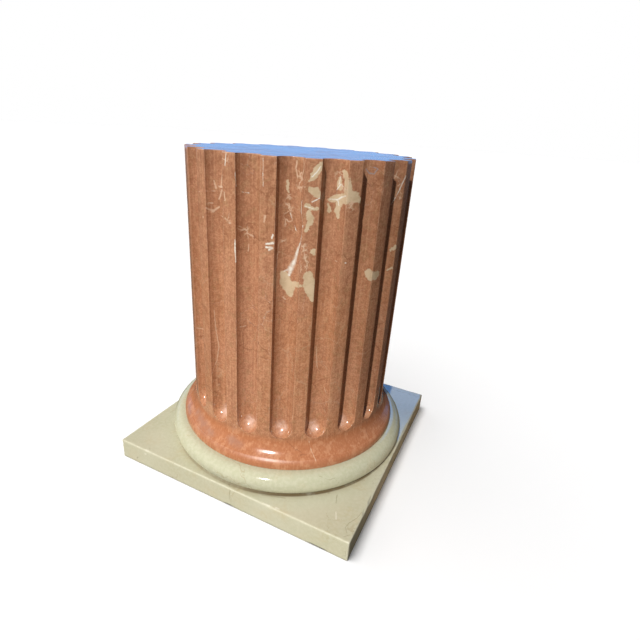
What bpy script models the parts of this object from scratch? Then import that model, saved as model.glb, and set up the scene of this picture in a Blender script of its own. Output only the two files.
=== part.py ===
"""Marble pedestal column: a square plinth, a half-round torus and a fluted shaft.

Three stones stand on each other by their own weight. The origin is the centre of the plinth's
underside, on the ground, with +Z up and the plinth's faces along X and Y. All sizes are in metres.
"""

import bpy
from math import asin, cos, pi, radians, sin, tan

# Plinth, a square slab
PLINTH_SIDE = 0.600
PLINTH_THICKNESS = 0.050
PLINTH_ARRIS = 0.0015           # width of the eased edges

# Torus, a disc with a half-round rim turned from a second slab
TORUS_HEIGHT = 0.050
TORUS_SETBACK = 0.001           # how far its widest line stays inside the plinth's faces

# Foot of the shaft: upright band, rounded nose, sloping run and hollow flare
SEAT_MARGIN = 0.004             # flat of the torus that shows around the foot
FOOT_PROJECTION = 0.028         # how far the foot stands out from the shaft
FOOT_BAND = 0.007
NOSE_RADIUS = 0.018
FLARE_RADIUS = 0.043
FLARE_SLOPE = radians(48)       # slope of the run between nose and flare, measured from upright

# Shaft and its flutes
SHAFT_LENGTH = 0.630            # with its foot
FLUTE_COUNT = 20
FILLET_WIDTH = 0.029            # plain strip between two flutes
FLUTE_STOP = 0.001              # height of the flutes' round ends above the flare
FLUTE_TURN = radians(-84.34)    # direction of one flute, counted from +X

# Joints and smoothness
BED_JOINT = 0.0003              # gap between two stones
CUT_OVERRUN = 0.010             # how far a flute cutter stands above the shaft
TURNED_STEPS = 100
NOSE_SEGMENTS = 4
FLARE_SEGMENTS = 5
TORUS_SEGMENTS = 10
FLUTE_STEPS = 20                # sides of a whole round cutter
SCOOP_SEGMENTS = 5              # rings in the round end of a flute
SMOOTH_LIMIT = radians(30)
MERGE = 0.00005

# Levels and radii that follow from the sizes above
plinth_top = PLINTH_THICKNESS
torus_bottom = plinth_top + BED_JOINT
torus_top = torus_bottom + TORUS_HEIGHT
shaft_bottom = torus_top + BED_JOINT
shaft_top = shaft_bottom + SHAFT_LENGTH

torus_tube = TORUS_HEIGHT / 2
torus_flat_radius = PLINTH_SIDE / 2 - TORUS_SETBACK - torus_tube
foot_radius = torus_flat_radius - SEAT_MARGIN
shaft_radius = foot_radius - FOOT_PROJECTION

# The nose and the flare never take more than the foot stands out
curve_share = 1 - cos(FLARE_SLOPE)
curve_limit = min(1.0, FOOT_PROJECTION / ((NOSE_RADIUS + FLARE_RADIUS) * curve_share))
nose_radius = NOSE_RADIUS * curve_limit
flare_radius = FLARE_RADIUS * curve_limit
run_depth = FOOT_PROJECTION - (nose_radius + flare_radius) * curve_share
nose_bottom = shaft_bottom + FOOT_BAND
flare_top = nose_bottom + (nose_radius + flare_radius) * sin(FLARE_SLOPE) + run_depth / tan(FLARE_SLOPE)

# The flutes are half rounds that fill what the fillets leave of each division
fillet_angle = 2 * asin(FILLET_WIDTH / 2 / shaft_radius)
flute_pitch = 2 * pi / FLUTE_COUNT
flute_angle = flute_pitch - fillet_angle
flute_radius = shaft_radius * sin(flute_angle / 2)
flute_axis_radius = shaft_radius * cos(flute_angle / 2)
flute_foot = flare_top + FLUTE_STOP


def clear_objects():
    for obj in list(bpy.data.objects):
        bpy.data.objects.remove(obj, do_unlink=True)


def new_collection(name):
    collection = bpy.data.collections.new(name)
    bpy.context.scene.collection.children.link(collection)
    return collection


def new_object(name, mesh, collection):
    obj = bpy.data.objects.new(name, mesh)
    collection.objects.link(obj)
    return obj


def marble(name, colour, roughness):
    material = bpy.data.materials.new(name)
    material.use_nodes = True
    shader = material.node_tree.nodes["Principled BSDF"]
    shader.inputs["Base Color"].default_value = (*colour, 1)
    shader.inputs["Roughness"].default_value = roughness
    shader.inputs["Metallic"].default_value = 0
    return material


def arc(centre, radius, start, end, segments):
    """Points of an arc in the XZ plane, given as (x, z), both ends included."""
    points = []
    for i in range(segments + 1):
        angle = start + (end - start) * i / segments
        points.append((centre[0] + radius * cos(angle), centre[1] + radius * sin(angle)))
    return points


def turned(name, profile, steps, collection, material=None):
    """A solid of revolution from a profile that runs from the axis, down its outer side, to the axis."""
    mesh = bpy.data.meshes.new(name)
    vertices = [(x, 0, z) for x, z in profile]
    edges = [(i, i + 1) for i in range(len(vertices) - 1)]
    mesh.from_pydata(vertices, edges, [])
    obj = new_object(name, mesh, collection)
    if material:
        mesh.materials.append(material)
    screw = obj.modifiers.new("Turn", "SCREW")
    screw.axis = "Z"
    screw.steps = steps
    screw.render_steps = steps
    screw.use_merge_vertices = True
    screw.merge_threshold = MERGE
    screw.use_smooth_shade = True
    return obj


def bake(obj):
    """Replaces the object's mesh by its evaluated shape, without modifiers, shaded by angle."""
    depsgraph = bpy.context.evaluated_depsgraph_get()
    mesh = bpy.data.meshes.new_from_object(obj.evaluated_get(depsgraph))
    obj.modifiers.clear()
    obj.data = mesh
    mesh.shade_smooth()
    mesh.set_sharp_from_angle(angle=SMOOTH_LIMIT)


def plinth(collection, material):
    bpy.ops.mesh.primitive_cube_add(size=1)
    obj = bpy.context.object
    obj.name = "plinth"
    obj.data.name = "plinth"
    for owner in list(obj.users_collection):
        owner.objects.unlink(obj)
    collection.objects.link(obj)
    for vertex in obj.data.vertices:
        vertex.co.x *= PLINTH_SIDE
        vertex.co.y *= PLINTH_SIDE
        vertex.co.z = (vertex.co.z + 0.5) * PLINTH_THICKNESS
    obj.data.materials.append(material)
    bevel = obj.modifiers.new("Eased edges", "BEVEL")
    bevel.width = PLINTH_ARRIS
    bevel.segments = 1
    bevel.limit_method = "ANGLE"
    return obj


def torus(collection, material):
    middle = torus_bottom + torus_tube
    half_round = arc((torus_flat_radius, middle), torus_tube, pi / 2, -pi / 2, TORUS_SEGMENTS)
    profile = [(0, torus_top)] + half_round + [(0, torus_bottom)]
    obj = turned("torus", profile, TURNED_STEPS, collection, material)
    bake(obj)
    return obj


def shaft_profile():
    """From the centre of the top, down the shaft, through flare, run, nose and band, to the centre."""
    flare_centre = (shaft_radius + flare_radius, flare_top)
    nose_centre = (foot_radius - nose_radius, nose_bottom)
    flare = arc(flare_centre, flare_radius, pi, pi + FLARE_SLOPE, FLARE_SEGMENTS)
    nose = arc(nose_centre, nose_radius, FLARE_SLOPE, 0, NOSE_SEGMENTS)
    top = [(0, shaft_top), (shaft_radius, shaft_top)]
    bottom = [(foot_radius, shaft_bottom), (0, shaft_bottom)]
    return top + flare + nose + bottom


def flute_cutter(collection):
    """A round bar with a ball end, standing on the Z axis at the flutes' height."""
    ball_centre = flute_foot + flute_radius
    bar_top = shaft_top + CUT_OVERRUN
    ball = arc((0, ball_centre), flute_radius, 0, -pi / 2, SCOOP_SEGMENTS)
    ball[-1] = (0, flute_foot)
    profile = [(0, bar_top), (flute_radius, bar_top)] + ball
    cutter = turned("flute_cutter", profile, FLUTE_STEPS, collection)
    bake(cutter)
    return cutter


def fluted_shaft(collection, cutters, material):
    obj = turned("fluted_shaft", shaft_profile(), TURNED_STEPS, collection, material)
    bake(obj)
    master = flute_cutter(cutters)
    for i in range(FLUTE_COUNT):
        angle = FLUTE_TURN + i * flute_pitch
        cutter = master if i == 0 else new_object(f"flute_cutter_{i}", master.data, cutters)
        cutter.location = (flute_axis_radius * cos(angle), flute_axis_radius * sin(angle), 0)
        cutter.rotation_euler = (0, 0, angle)
        cutter.hide_render = True
        cutter.display_type = "WIRE"
    cut = obj.modifiers.new("Flutes", "BOOLEAN")
    cut.operation = "DIFFERENCE"
    cut.solver = "EXACT"
    cut.operand_type = "COLLECTION"
    cut.collection = cutters
    bake(obj)
    return obj


def main():
    clear_objects()
    stones = new_collection("marble_pedestal_column")
    cutters = new_collection("flute_cutters")
    cream = marble("cream_marble", (0.66, 0.60, 0.42), 0.22)
    red = marble("red_marble", (0.42, 0.16, 0.08), 0.18)
    plinth(stones, cream)
    torus(stones, cream)
    fluted_shaft(stones, cutters, red)


main()
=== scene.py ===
"""Looks of a marble pedestal column: a cream plinth and torus under a red fluted shaft.

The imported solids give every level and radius. Three finer skins stand for them: the shaft, whose
flutes are laid out by Geometry Nodes, and the torus and the plinth, which are rings of points
drawn up from their undersides. Lengths are in metres and the ground is at z = 0.
"""

from math import asin, cos, pi, radians, sin, sqrt, tan

import bmesh
import bpy
from mathutils import Matrix, Vector, noise


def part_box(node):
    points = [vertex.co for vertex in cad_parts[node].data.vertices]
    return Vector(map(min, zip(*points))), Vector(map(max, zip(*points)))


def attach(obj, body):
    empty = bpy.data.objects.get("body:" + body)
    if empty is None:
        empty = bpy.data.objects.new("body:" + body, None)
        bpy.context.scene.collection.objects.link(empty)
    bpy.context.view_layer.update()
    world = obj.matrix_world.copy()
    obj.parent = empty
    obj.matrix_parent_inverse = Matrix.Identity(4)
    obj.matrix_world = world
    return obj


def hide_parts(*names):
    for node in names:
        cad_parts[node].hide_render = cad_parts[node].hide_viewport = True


# Fluting and foot of the shaft, as they were set out for the solids
FLUTE_COUNT = 20
FILLET_WIDTH = 0.029
FLUTE_STOP = 0.001
FLUTE_TURN = radians(-84.34)
FOOT_PROJECTION = 0.028
FOOT_BAND = 0.007
NOSE_RADIUS = 0.018
FLARE_RADIUS = 0.043
FLARE_SLOPE = radians(48)

# Eased edges and wear
SHAFT_ARRIS = 0.0006
PLINTH_ARRIS = 0.0015
CORNER_RADIUS = 0.0025
SUPPORT = 0.0015                # distance from an eased edge to the next row of points
ARRIS_WEAR = 0.00035
CHIP_DEPTH = 0.0022
HAND_WAVE = 0.00025             # unevenness left by hand polishing

# The side that the photograph shows, as directions round the shaft in radians
FRONT_MIDDLE, FRONT_REACH = radians(-62), radians(62)

# Scales of the noise that wears the skins, in cycles per metre, and the values that make its chips
WAVE_SCALE, TORUS_WAVE_SCALE = 7, 9
EDGE_SCALE, PLINTH_EDGE_SCALE = 90, 120
CHIP_SCALE, CHIP_AREA_SCALE, PLINTH_CHIP_SCALE = 38, 9, 42
CHIP_RANGE, CHIP_AREA_RANGE, PLINTH_CHIP_RANGE = (0.62, 0.74), (0.45, 0.60), (0.35, 0.70)
SKIN_SEED = 3.7
WALL_RANGE = (0.004, 0.012)     # half-widths over which a flute's wall comes to count as an arris
SIDE_RANGE = (0.96, 0.98)       # outline values over which the end face passes to the side

# How finely the skins are divided
FLUTE_COLUMNS = 20
FILLET_COLUMNS = 8
NOSE_ROWS = 7
RUN_ROWS = 3
FLARE_ROWS = 10
SCOOP_ROWS = 12
SHAFT_ROWS = 104
TORUS_COLUMNS = 300
TORUS_ROWS = 36
PLINTH_COLUMNS = 130            # along each side
CORNER_COLUMNS = 4
PLINTH_SIDE_ROWS = 14
CORE_MARGIN = 0.018             # how far inside the flutes the core ring of the end faces lies
CORE_SPREAD = 0.4               # half of what a flute's points take of the core ring, per division
WELD = 0.00002
END_OUTLINES = (0.88, 0.7, 0.4, 0.0)    # rows of the top face, from its edge to the core ring
CORE_MIDDLE = 0.6                       # the one row between the core ring and the pole
TORUS_SHARES = (0.5, 0.97)              # rows of the torus's flat faces, as shares of its ring
UNDERSIDE_SHARES = (0.5, 0.8, 0.95)     # rows of the plinth's underside, in from the edge
TOP_SHARES = (0.005, 0.012, 0.025, 0.05, 0.09, 0.15, 0.25, 0.5)
EDGE_ANGLES = tuple(radians(a) for a in (0, 30, 60, 90))
EVEN_SPACING = 0.7                      # how evenly the plinth's columns are spaced along a side

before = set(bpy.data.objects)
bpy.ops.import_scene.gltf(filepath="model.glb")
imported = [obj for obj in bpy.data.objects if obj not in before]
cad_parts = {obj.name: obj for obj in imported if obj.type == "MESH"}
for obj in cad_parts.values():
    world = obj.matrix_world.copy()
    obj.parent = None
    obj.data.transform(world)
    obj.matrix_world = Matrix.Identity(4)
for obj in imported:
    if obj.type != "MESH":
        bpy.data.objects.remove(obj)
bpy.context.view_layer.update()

# Levels and radii read from the solids
plinth_low, plinth_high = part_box("plinth")
torus_low, torus_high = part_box("torus")
shaft_low, shaft_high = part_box("fluted_shaft")

plinth_half = plinth_high.x
torus_middle = (torus_low.z + torus_high.z) / 2
torus_tube = (torus_high.z - torus_low.z) / 2
torus_ring = torus_high.x - torus_tube
foot_radius = shaft_high.x
shaft_radius = foot_radius - FOOT_PROJECTION

curve_share = 1 - cos(FLARE_SLOPE)
run_depth = FOOT_PROJECTION - (NOSE_RADIUS + FLARE_RADIUS) * curve_share
nose_bottom = shaft_low.z + FOOT_BAND
flare_top = nose_bottom + (NOSE_RADIUS + FLARE_RADIUS) * sin(FLARE_SLOPE) + run_depth / tan(FLARE_SLOPE)
flute_foot = flare_top + FLUTE_STOP
flute_pitch = 2 * pi / FLUTE_COUNT
flute_angle = flute_pitch - 2 * asin(FILLET_WIDTH / 2 / shaft_radius)
flute_radius = shaft_radius * sin(flute_angle / 2)
flute_floor = shaft_radius * cos(flute_angle / 2) - flute_radius
core_radius = flute_floor - CORE_MARGIN
scoop_level = flute_foot + flute_radius


# Short calls for node trees

def feed(tree, socket, value):
    """Joins a result to an input socket, or sets the input to a plain value."""
    if isinstance(value, bpy.types.NodeSocket):
        tree.links.new(value, socket)
    elif socket.type == "RGBA" and len(value) == 3:
        socket.default_value = (*value, 1)
    else:
        socket.default_value = value


def add(tree, kind, inputs=None, **settings):
    """Adds a node, sets its properties, and feeds its input sockets by name or number."""
    node = tree.nodes.new(kind)
    for name, value in settings.items():
        setattr(node, name, value)
    for key, value in (inputs or {}).items():
        feed(tree, node.inputs[key], value)
    return node


def calc(tree, operation, *values):
    """One step of arithmetic, as the socket that holds its result."""
    return add(tree, "ShaderNodeMath", dict(enumerate(values)), operation=operation).outputs[0]


def times(tree, *values):
    """The product of two or more values."""
    product = values[0]
    for value in values[1:]:
        product = calc(tree, "MULTIPLY", product, value)
    return product


def length(tree, across, up):
    """The length of a step that goes across and up."""
    return calc(tree, "SQRT",
                calc(tree, "ADD", calc(tree, "POWER", across, 2), calc(tree, "POWER", up, 2)))


def vector_calc(tree, operation, *values):
    node = add(tree, "ShaderNodeVectorMath", dict(enumerate(values)), operation=operation)
    return node.outputs["Value" if operation in ("LENGTH", "DISTANCE", "DOT_PRODUCT") else "Vector"]


def scaled(tree, vector, factor):
    return add(tree, "ShaderNodeVectorMath", {0: vector, "Scale": factor}, operation="SCALE").outputs[0]


def parts(tree, vector):
    """The x, y and z of a vector."""
    return add(tree, "ShaderNodeSeparateXYZ", {0: vector}).outputs


def rough(tree, spot, scale, detail, roughness=0.5, output=0):
    """A noise texture round a spot: output 0 is its value, output 1 its colour."""
    return add(tree, "ShaderNodeTexNoise", {"Vector": spot, "Scale": scale, "Detail": detail,
                                            "Roughness": roughness}).outputs[output]


def ramp(tree, value, start, end, low=0.0, high=1.0, smooth=True):
    """Carries a value from start..end to low..high and holds it there outside."""
    node = add(tree, "ShaderNodeMapRange", {"Value": value, "From Min": start, "From Max": end,
                                            "To Min": low, "To Max": high})
    node.interpolation_type = "SMOOTHSTEP" if smooth else "LINEAR"
    return node.outputs["Result"]


def choose(tree, switch, no, yes):
    """The second value where the switch is off, the third where it is on."""
    return add(tree, "ShaderNodeMix", {0: switch, 2: no, 3: yes}, data_type="FLOAT").outputs[0]


def new_group(name, kind, inputs, outputs):
    """A node group with named sockets; gives the tree and its input and output nodes."""
    tree = bpy.data.node_groups.new(name, kind)
    for in_out, sockets in (("INPUT", inputs), ("OUTPUT", outputs)):
        for socket_name, socket_type, *value in sockets:
            socket = tree.interface.new_socket(socket_name, in_out=in_out, socket_type=socket_type)
            if value:
                socket.default_value = value[0]
    return tree, add(tree, "NodeGroupInput"), add(tree, "NodeGroupOutput")


# Fluted shaft: rows of a profile, from the middle of the underside to the middle of the top

def shaft_rows():
    """Rows as (radius, height, flute half-width, fluted, outline, core, edge).

    Where the shaft is plain, the half-width only says how far the flute's columns have spread.
    On the two end faces, outline falls from 1 at the rim to 0 at the core ring, and then core
    falls from 1 to 0 in the middle.
    """
    rows = []

    def plain(radius, height, outline=1.0, core=1.0, edge=0.0):
        below = min(max(flute_foot - height, 0), flute_radius)
        spread = sqrt(flute_radius ** 2 - (flute_radius - below) ** 2)
        rows.append((radius, height, spread, 0.0, outline, core, edge))

    def fluted(height, half_width, outline=1.0, core=1.0, edge=0.0):
        rows.append((shaft_radius, height, half_width, 1.0, outline, core, edge))

    inner = foot_radius - SHAFT_ARRIS
    for core in (0.0, CORE_MIDDLE):
        plain(inner, shaft_low.z, 0.0, core)
    for outline in (0.0, 0.9):
        plain(inner, shaft_low.z, outline)
    plain(inner, shaft_low.z, edge=1.0)
    plain(foot_radius, shaft_low.z + SHAFT_ARRIS, edge=1.0)
    plain(foot_radius, shaft_low.z + SHAFT_ARRIS + SUPPORT)
    for i in range(NOSE_ROWS + 1):
        angle = FLARE_SLOPE * i / NOSE_ROWS
        plain(foot_radius - NOSE_RADIUS * (1 - cos(angle)), nose_bottom + NOSE_RADIUS * sin(angle))
    run_start = Vector(rows[-1][:2])
    flare_start = Vector((shaft_radius + FLARE_RADIUS * curve_share,
                          flare_top - FLARE_RADIUS * sin(FLARE_SLOPE)))
    for i in range(1, RUN_ROWS):
        plain(*run_start.lerp(flare_start, i / RUN_ROWS))
    for i in range(FLARE_ROWS + 1):
        angle = FLARE_SLOPE * (1 - i / FLARE_ROWS)
        plain(shaft_radius + FLARE_RADIUS * (1 - cos(angle)), flare_top - FLARE_RADIUS * sin(angle))
    for i in range(SCOOP_ROWS + 1):
        angle = pi / 2 * (1 - i / SCOOP_ROWS)
        fluted(scoop_level - flute_radius * sin(angle), flute_radius * cos(angle))
    top = shaft_high.z - SHAFT_ARRIS
    for i in range(1, SHAFT_ROWS + 1):
        fluted(scoop_level + (top - SUPPORT - scoop_level) * i / SHAFT_ROWS, flute_radius)
    fluted(top, flute_radius, edge=1.0)
    end_width = shaft_radius - core_radius
    rim = 1 - SHAFT_ARRIS / end_width
    fluted(shaft_high.z, flute_radius, rim, edge=1.0)
    for outline in (rim - SUPPORT / end_width, *END_OUTLINES):
        fluted(shaft_high.z, flute_radius, outline)
    for core in (CORE_MIDDLE, 0.0):
        fluted(shaft_high.z, flute_radius, 0.0, core)
    return rows


def profile_mesh(name, rows):
    """The rows as points of a mesh, with the rest of each row as attributes for the node tree."""
    mesh = bpy.data.meshes.new(name)
    mesh.from_pydata([(row[0], 0, row[1]) for row in rows], [], [])
    for column, attribute in enumerate(("half_width", "fluted", "outline", "core", "edge"), start=2):
        layer = mesh.attributes.new(attribute, "FLOAT", "POINT")
        layer.data.foreach_set("value", [row[column] for row in rows])
    return mesh


def fluting_tree():
    """Geometry Nodes that wrap a grid round the axis, one column after another, and sink the flutes."""
    tree, given, result = new_group("Fluted shaft", "GeometryNodeTree", (
        ("Profile", "NodeSocketGeometry"),
        ("Flutes", "NodeSocketInt", 20),
        ("Flute Columns", "NodeSocketInt", 20),
        ("Fillet Columns", "NodeSocketInt", 8),
        ("Shaft Radius", "NodeSocketFloat", 0.25),
        ("Core Radius", "NodeSocketFloat", 0.2),
        ("Turn", "NodeSocketFloat", 0.0),
        ("Hand Wave", "NodeSocketFloat", 0.0),
        ("Arris Wear", "NodeSocketFloat", 0.0),
        ("Chip Depth", "NodeSocketFloat", 0.0),
        ("Seed", "NodeSocketFloat", 0.0),
        ("Material", "NodeSocketMaterial"),
    ), (("Mesh", "NodeSocketGeometry"),))
    profile, per_flute, per_fillet = given.outputs[0], given.outputs[2], given.outputs[3]
    radius_of_shaft = given.outputs["Shaft Radius"]

    per_pitch = calc(tree, "ADD", per_flute, per_fillet)
    columns = calc(tree, "ADD", times(tree, per_pitch, given.outputs["Flutes"]), 1)
    rows = add(tree, "GeometryNodeAttributeDomainSize", {0: profile}).outputs["Point Count"]
    grid = add(tree, "GeometryNodeMeshGrid", {"Vertices X": columns, "Vertices Y": rows})

    # Which column and row a point belongs to, and where its column lies within one division
    index = add(tree, "GeometryNodeInputIndex").outputs[0]
    row = calc(tree, "FLOORED_MODULO", index, rows)
    column = calc(tree, "FLOOR", calc(tree, "DIVIDE", calc(tree, "ADD", index, 0.5), rows))
    division = calc(tree, "FLOOR", calc(tree, "DIVIDE", calc(tree, "ADD", column, 0.5), per_pitch))
    place = calc(tree, "SUBTRACT", column, times(tree, division, per_pitch))
    side = ramp(tree, calc(tree, "DIVIDE", place, per_flute), 0, 1, -1, 1)
    past_flute = calc(tree, "DIVIDE", calc(tree, "SUBTRACT", place, per_flute), per_fillet)
    along_fillet = ramp(tree, past_flute, 0, 1)
    on_fillet = calc(tree, "GREATER_THAN", past_flute, 0)

    def of_row(data_type, value):
        return add(tree, "GeometryNodeSampleIndex", {"Geometry": profile, "Value": value, "Index": row},
                   data_type=data_type).outputs[0]

    def stored(name):
        return add(tree, "GeometryNodeInputNamedAttribute", {"Name": name}).outputs[0]

    def row_value(name):
        return of_row("FLOAT", stored(name))

    place_in_profile = of_row("FLOAT_VECTOR", add(tree, "GeometryNodeInputPosition").outputs[0])
    radius, _, height = parts(tree, place_in_profile)
    half_width, fluted = row_value("half_width"), row_value("fluted")
    outline, core, edge = row_value("outline"), row_value("core"), row_value("edge")

    # The flute is a half circle of the row's half-width, with its ends on the shaft's surface
    reach = calc(tree, "ARCSINE", calc(tree, "DIVIDE", half_width, radius_of_shaft))
    centre = calc(tree, "SQRT", calc(tree, "SUBTRACT", calc(tree, "POWER", radius_of_shaft, 2),
                                     calc(tree, "POWER", half_width, 2)))
    turn = times(tree, side, pi / 2)
    out = calc(tree, "SUBTRACT", centre, times(tree, half_width, calc(tree, "COSINE", turn)))
    across = times(tree, half_width, calc(tree, "SINE", turn))
    flute_spot = calc(tree, "ARCTAN2", across, out)
    flute_depth = length(tree, out, across)
    plain_spot = times(tree, side, reach)
    flute_spot = choose(tree, fluted, plain_spot, flute_spot)
    flute_depth = choose(tree, fluted, radius, flute_depth)

    # The fillet takes the rest of the division, on the plain surface
    pitch = calc(tree, "DIVIDE", 2 * pi, given.outputs["Flutes"])
    fillet_reach = calc(tree, "SUBTRACT", pitch, times(tree, reach, 2))
    fillet_spot = calc(tree, "MULTIPLY_ADD", along_fillet, fillet_reach, reach)
    spot = choose(tree, on_fillet, flute_spot, fillet_spot)
    from_axis = choose(tree, on_fillet, flute_depth, radius)
    angle = calc(tree, "ADD", calc(tree, "MULTIPLY_ADD", division, pitch, spot), given.outputs["Turn"])

    def on_circle(distance, direction):
        x = times(tree, distance, calc(tree, "COSINE", direction))
        y = times(tree, distance, calc(tree, "SINE", direction))
        return add(tree, "ShaderNodeCombineXYZ", {0: x, 1: y, 2: height}).outputs[0]

    # The end faces run from the outline to a core ring, where the flutes' points have spread out
    # far enough to leave their walls on the stone's side, and on to a pole
    core_reach = times(tree, pitch, CORE_SPREAD)
    core_rest = calc(tree, "SUBTRACT", pitch, times(tree, core_reach, 2))
    core_spot = choose(tree, on_fillet, times(tree, side, core_reach),
                       calc(tree, "MULTIPLY_ADD", along_fillet, core_rest, core_reach))
    core_angle = calc(tree, "ADD", calc(tree, "MULTIPLY_ADD", division, pitch, core_spot),
                      given.outputs["Turn"])
    in_core = on_circle(times(tree, given.outputs["Core Radius"], core), core_angle)
    position = add(tree, "ShaderNodeMix", {0: outline, 4: in_core, 5: on_circle(from_axis, angle)},
                   data_type="VECTOR").outputs[1]

    # How near a column is to an arris, counted in columns, on the side of the shaft alone
    to_left = calc(tree, "ABSOLUTE", place)
    to_right = calc(tree, "ABSOLUTE", calc(tree, "SUBTRACT", place, per_flute))
    to_next = calc(tree, "SUBTRACT", per_pitch, place)
    steps = calc(tree, "MINIMUM", calc(tree, "MINIMUM", to_left, to_right), to_next)
    deep_enough = ramp(tree, half_width, *WALL_RANGE)
    on_side = ramp(tree, outline, *SIDE_RANGE)
    flute_wall = times(tree, fluted, deep_enough, on_side)
    arris = times(tree, flute_wall, ramp(tree, steps, 0, 1, 1, 0, smooth=False))
    near = times(tree, flute_wall, ramp(tree, steps, 0, 3, 1, 0, smooth=False))
    wear_and_glint = calc(tree, "MAXIMUM", arris, edge)

    shape = add(tree, "GeometryNodeSetPosition", {"Geometry": grid.outputs["Mesh"],
                                                  "Position": position})
    named = shape
    for name, value in (("edge_wear_and_glint", wear_and_glint), ("near_edge", near)):
        named = add(tree, "GeometryNodeStoreNamedAttribute",
                    {"Geometry": named.outputs[0], "Name": name, "Value": value},
                    data_type="FLOAT", domain="POINT")
    welded = add(tree, "GeometryNodeMergeByDistance", {"Geometry": named.outputs[0], "Distance": WELD})

    # Wear sinks every point along its normal: a slow wave, eased arrises and a few chips
    spot_now = add(tree, "GeometryNodeInputPosition").outputs[0]
    seeded = vector_calc(tree, "ADD", spot_now, given.outputs["Seed"])

    wave = times(tree, rough(tree, seeded, WAVE_SCALE, 1), given.outputs["Hand Wave"])
    eased = times(tree, stored("edge_wear_and_glint"), given.outputs["Arris Wear"],
                  ramp(tree, rough(tree, seeded, EDGE_SCALE, 2), 0.35, 0.65, 0.6, 1.6))
    chips = times(tree, ramp(tree, rough(tree, seeded, CHIP_SCALE, 3), *CHIP_RANGE),
                  ramp(tree, rough(tree, seeded, CHIP_AREA_SCALE, 1), *CHIP_AREA_RANGE))
    chips = times(tree, chips, stored("near_edge"), given.outputs["Chip Depth"])
    sink = calc(tree, "ADD", calc(tree, "ADD", wave, eased), chips)
    offset = scaled(tree, add(tree, "GeometryNodeInputNormal").outputs[0], times(tree, sink, -1))
    weathered = add(tree, "GeometryNodeSetPosition", {"Geometry": welded.outputs[0], "Offset": offset})
    smooth = add(tree, "GeometryNodeSetShadeSmooth", {"Geometry": weathered.outputs[0]})
    real = add(tree, "GeometryNodeRealizeInstances", {"Geometry": smooth.outputs[0]})
    painted = add(tree, "GeometryNodeSetMaterial", {"Geometry": real.outputs[0],
                                                    "Material": given.outputs["Material"]})
    tree.links.new(painted.outputs[0], result.inputs[0])
    return tree


def set_inputs(modifier, values):
    """Sets a modifier's inputs by the names that its tree gives them."""
    for item in modifier.node_group.interface.items_tree:
        if item.item_type == "SOCKET" and item.in_out == "INPUT" and item.name in values:
            modifier[item.identifier] = values[item.name]


def plain_mesh(obj):
    """Turns what the modifiers make into the object's own mesh, and takes the modifiers away."""
    depsgraph = bpy.context.evaluated_depsgraph_get()
    mesh = bpy.data.meshes.new_from_object(obj.evaluated_get(depsgraph))
    obj.modifiers.clear()
    obj.data = mesh


def column_shaft(material):
    mesh = profile_mesh("column_shaft", shaft_rows())
    obj = bpy.data.objects.new("column_shaft", mesh)
    bpy.context.scene.collection.objects.link(obj)
    modifier = obj.modifiers.new("Fluting", "NODES")
    modifier.node_group = fluting_tree()
    set_inputs(modifier, {
        "Flutes": FLUTE_COUNT, "Flute Columns": FLUTE_COLUMNS, "Fillet Columns": FILLET_COLUMNS,
        "Shaft Radius": shaft_radius, "Core Radius": core_radius, "Turn": FLUTE_TURN,
        "Hand Wave": HAND_WAVE, "Arris Wear": ARRIS_WEAR, "Chip Depth": CHIP_DEPTH,
        "Seed": SKIN_SEED, "Material": material})
    plain_mesh(obj)
    return obj


# Torus and plinth: rings of points from the underside up, with a pole at either end

def ring_skin(name, rings, material):
    """A closed skin over rings of (point, edge mask for wear and a painted highlight); its poles stand in
    the middle of the end rings.
    """
    bm = bmesh.new()
    wear = bm.verts.layers.float.new("edge_wear_and_glint")
    rows = []
    for ring in rings:
        row = []
        for point, wear_and_glint in ring:
            vertex = bm.verts.new(point)
            vertex[wear] = wear_and_glint
            row.append(vertex)
        rows.append(row)
    count = len(rows[0])
    for lower, upper in zip(rows, rows[1:]):
        for i in range(count):
            j = (i + 1) % count
            bm.faces.new((lower[i], lower[j], upper[j], upper[i]))
    for row, level, order in ((rows[0], rings[0][0][0].z, -1), (rows[-1], rings[-1][0][0].z, 1)):
        pole = bm.verts.new((0, 0, level))
        for i in range(count):
            face = (row[i], row[(i + 1) % count], pole)
            bm.faces.new(face[::order])
    for face in bm.faces:
        face.smooth = True
    mesh = bpy.data.meshes.new(name)
    bm.to_mesh(mesh)
    bm.free()
    mesh.materials.append(material)
    obj = bpy.data.objects.new(name, mesh)
    bpy.context.scene.collection.objects.link(obj)
    return obj


def smooth_step(value, start, end):
    share = min(max((value - start) / (end - start), 0), 1)
    return share * share * (3 - 2 * share)


def torus_rings():
    """The flat underside, the half round rim and the flat top, sunk a little by hand polishing."""
    rows = [(torus_ring * share, torus_low.z) for share in TORUS_SHARES]
    for i in range(TORUS_ROWS + 1):
        angle = -pi / 2 + pi * i / TORUS_ROWS
        rows.append((torus_ring + torus_tube * cos(angle), torus_middle + torus_tube * sin(angle)))
    rows += [(torus_ring * share, torus_high.z) for share in reversed(TORUS_SHARES)]
    rings = []
    for radius, height in rows:
        ring = []
        for i in range(TORUS_COLUMNS):
            angle = 2 * pi * i / TORUS_COLUMNS
            point = Vector((radius * cos(angle), radius * sin(angle), height))
            sunk = HAND_WAVE * (noise.noise(point * TORUS_WAVE_SCALE) + 1) if radius > torus_ring else 0
            ring.append((point * (1 - sunk / radius) * Vector((1, 1, 0)) + Vector((0, 0, height)), 0.0))
        rings.append(ring)
    return rings


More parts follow.
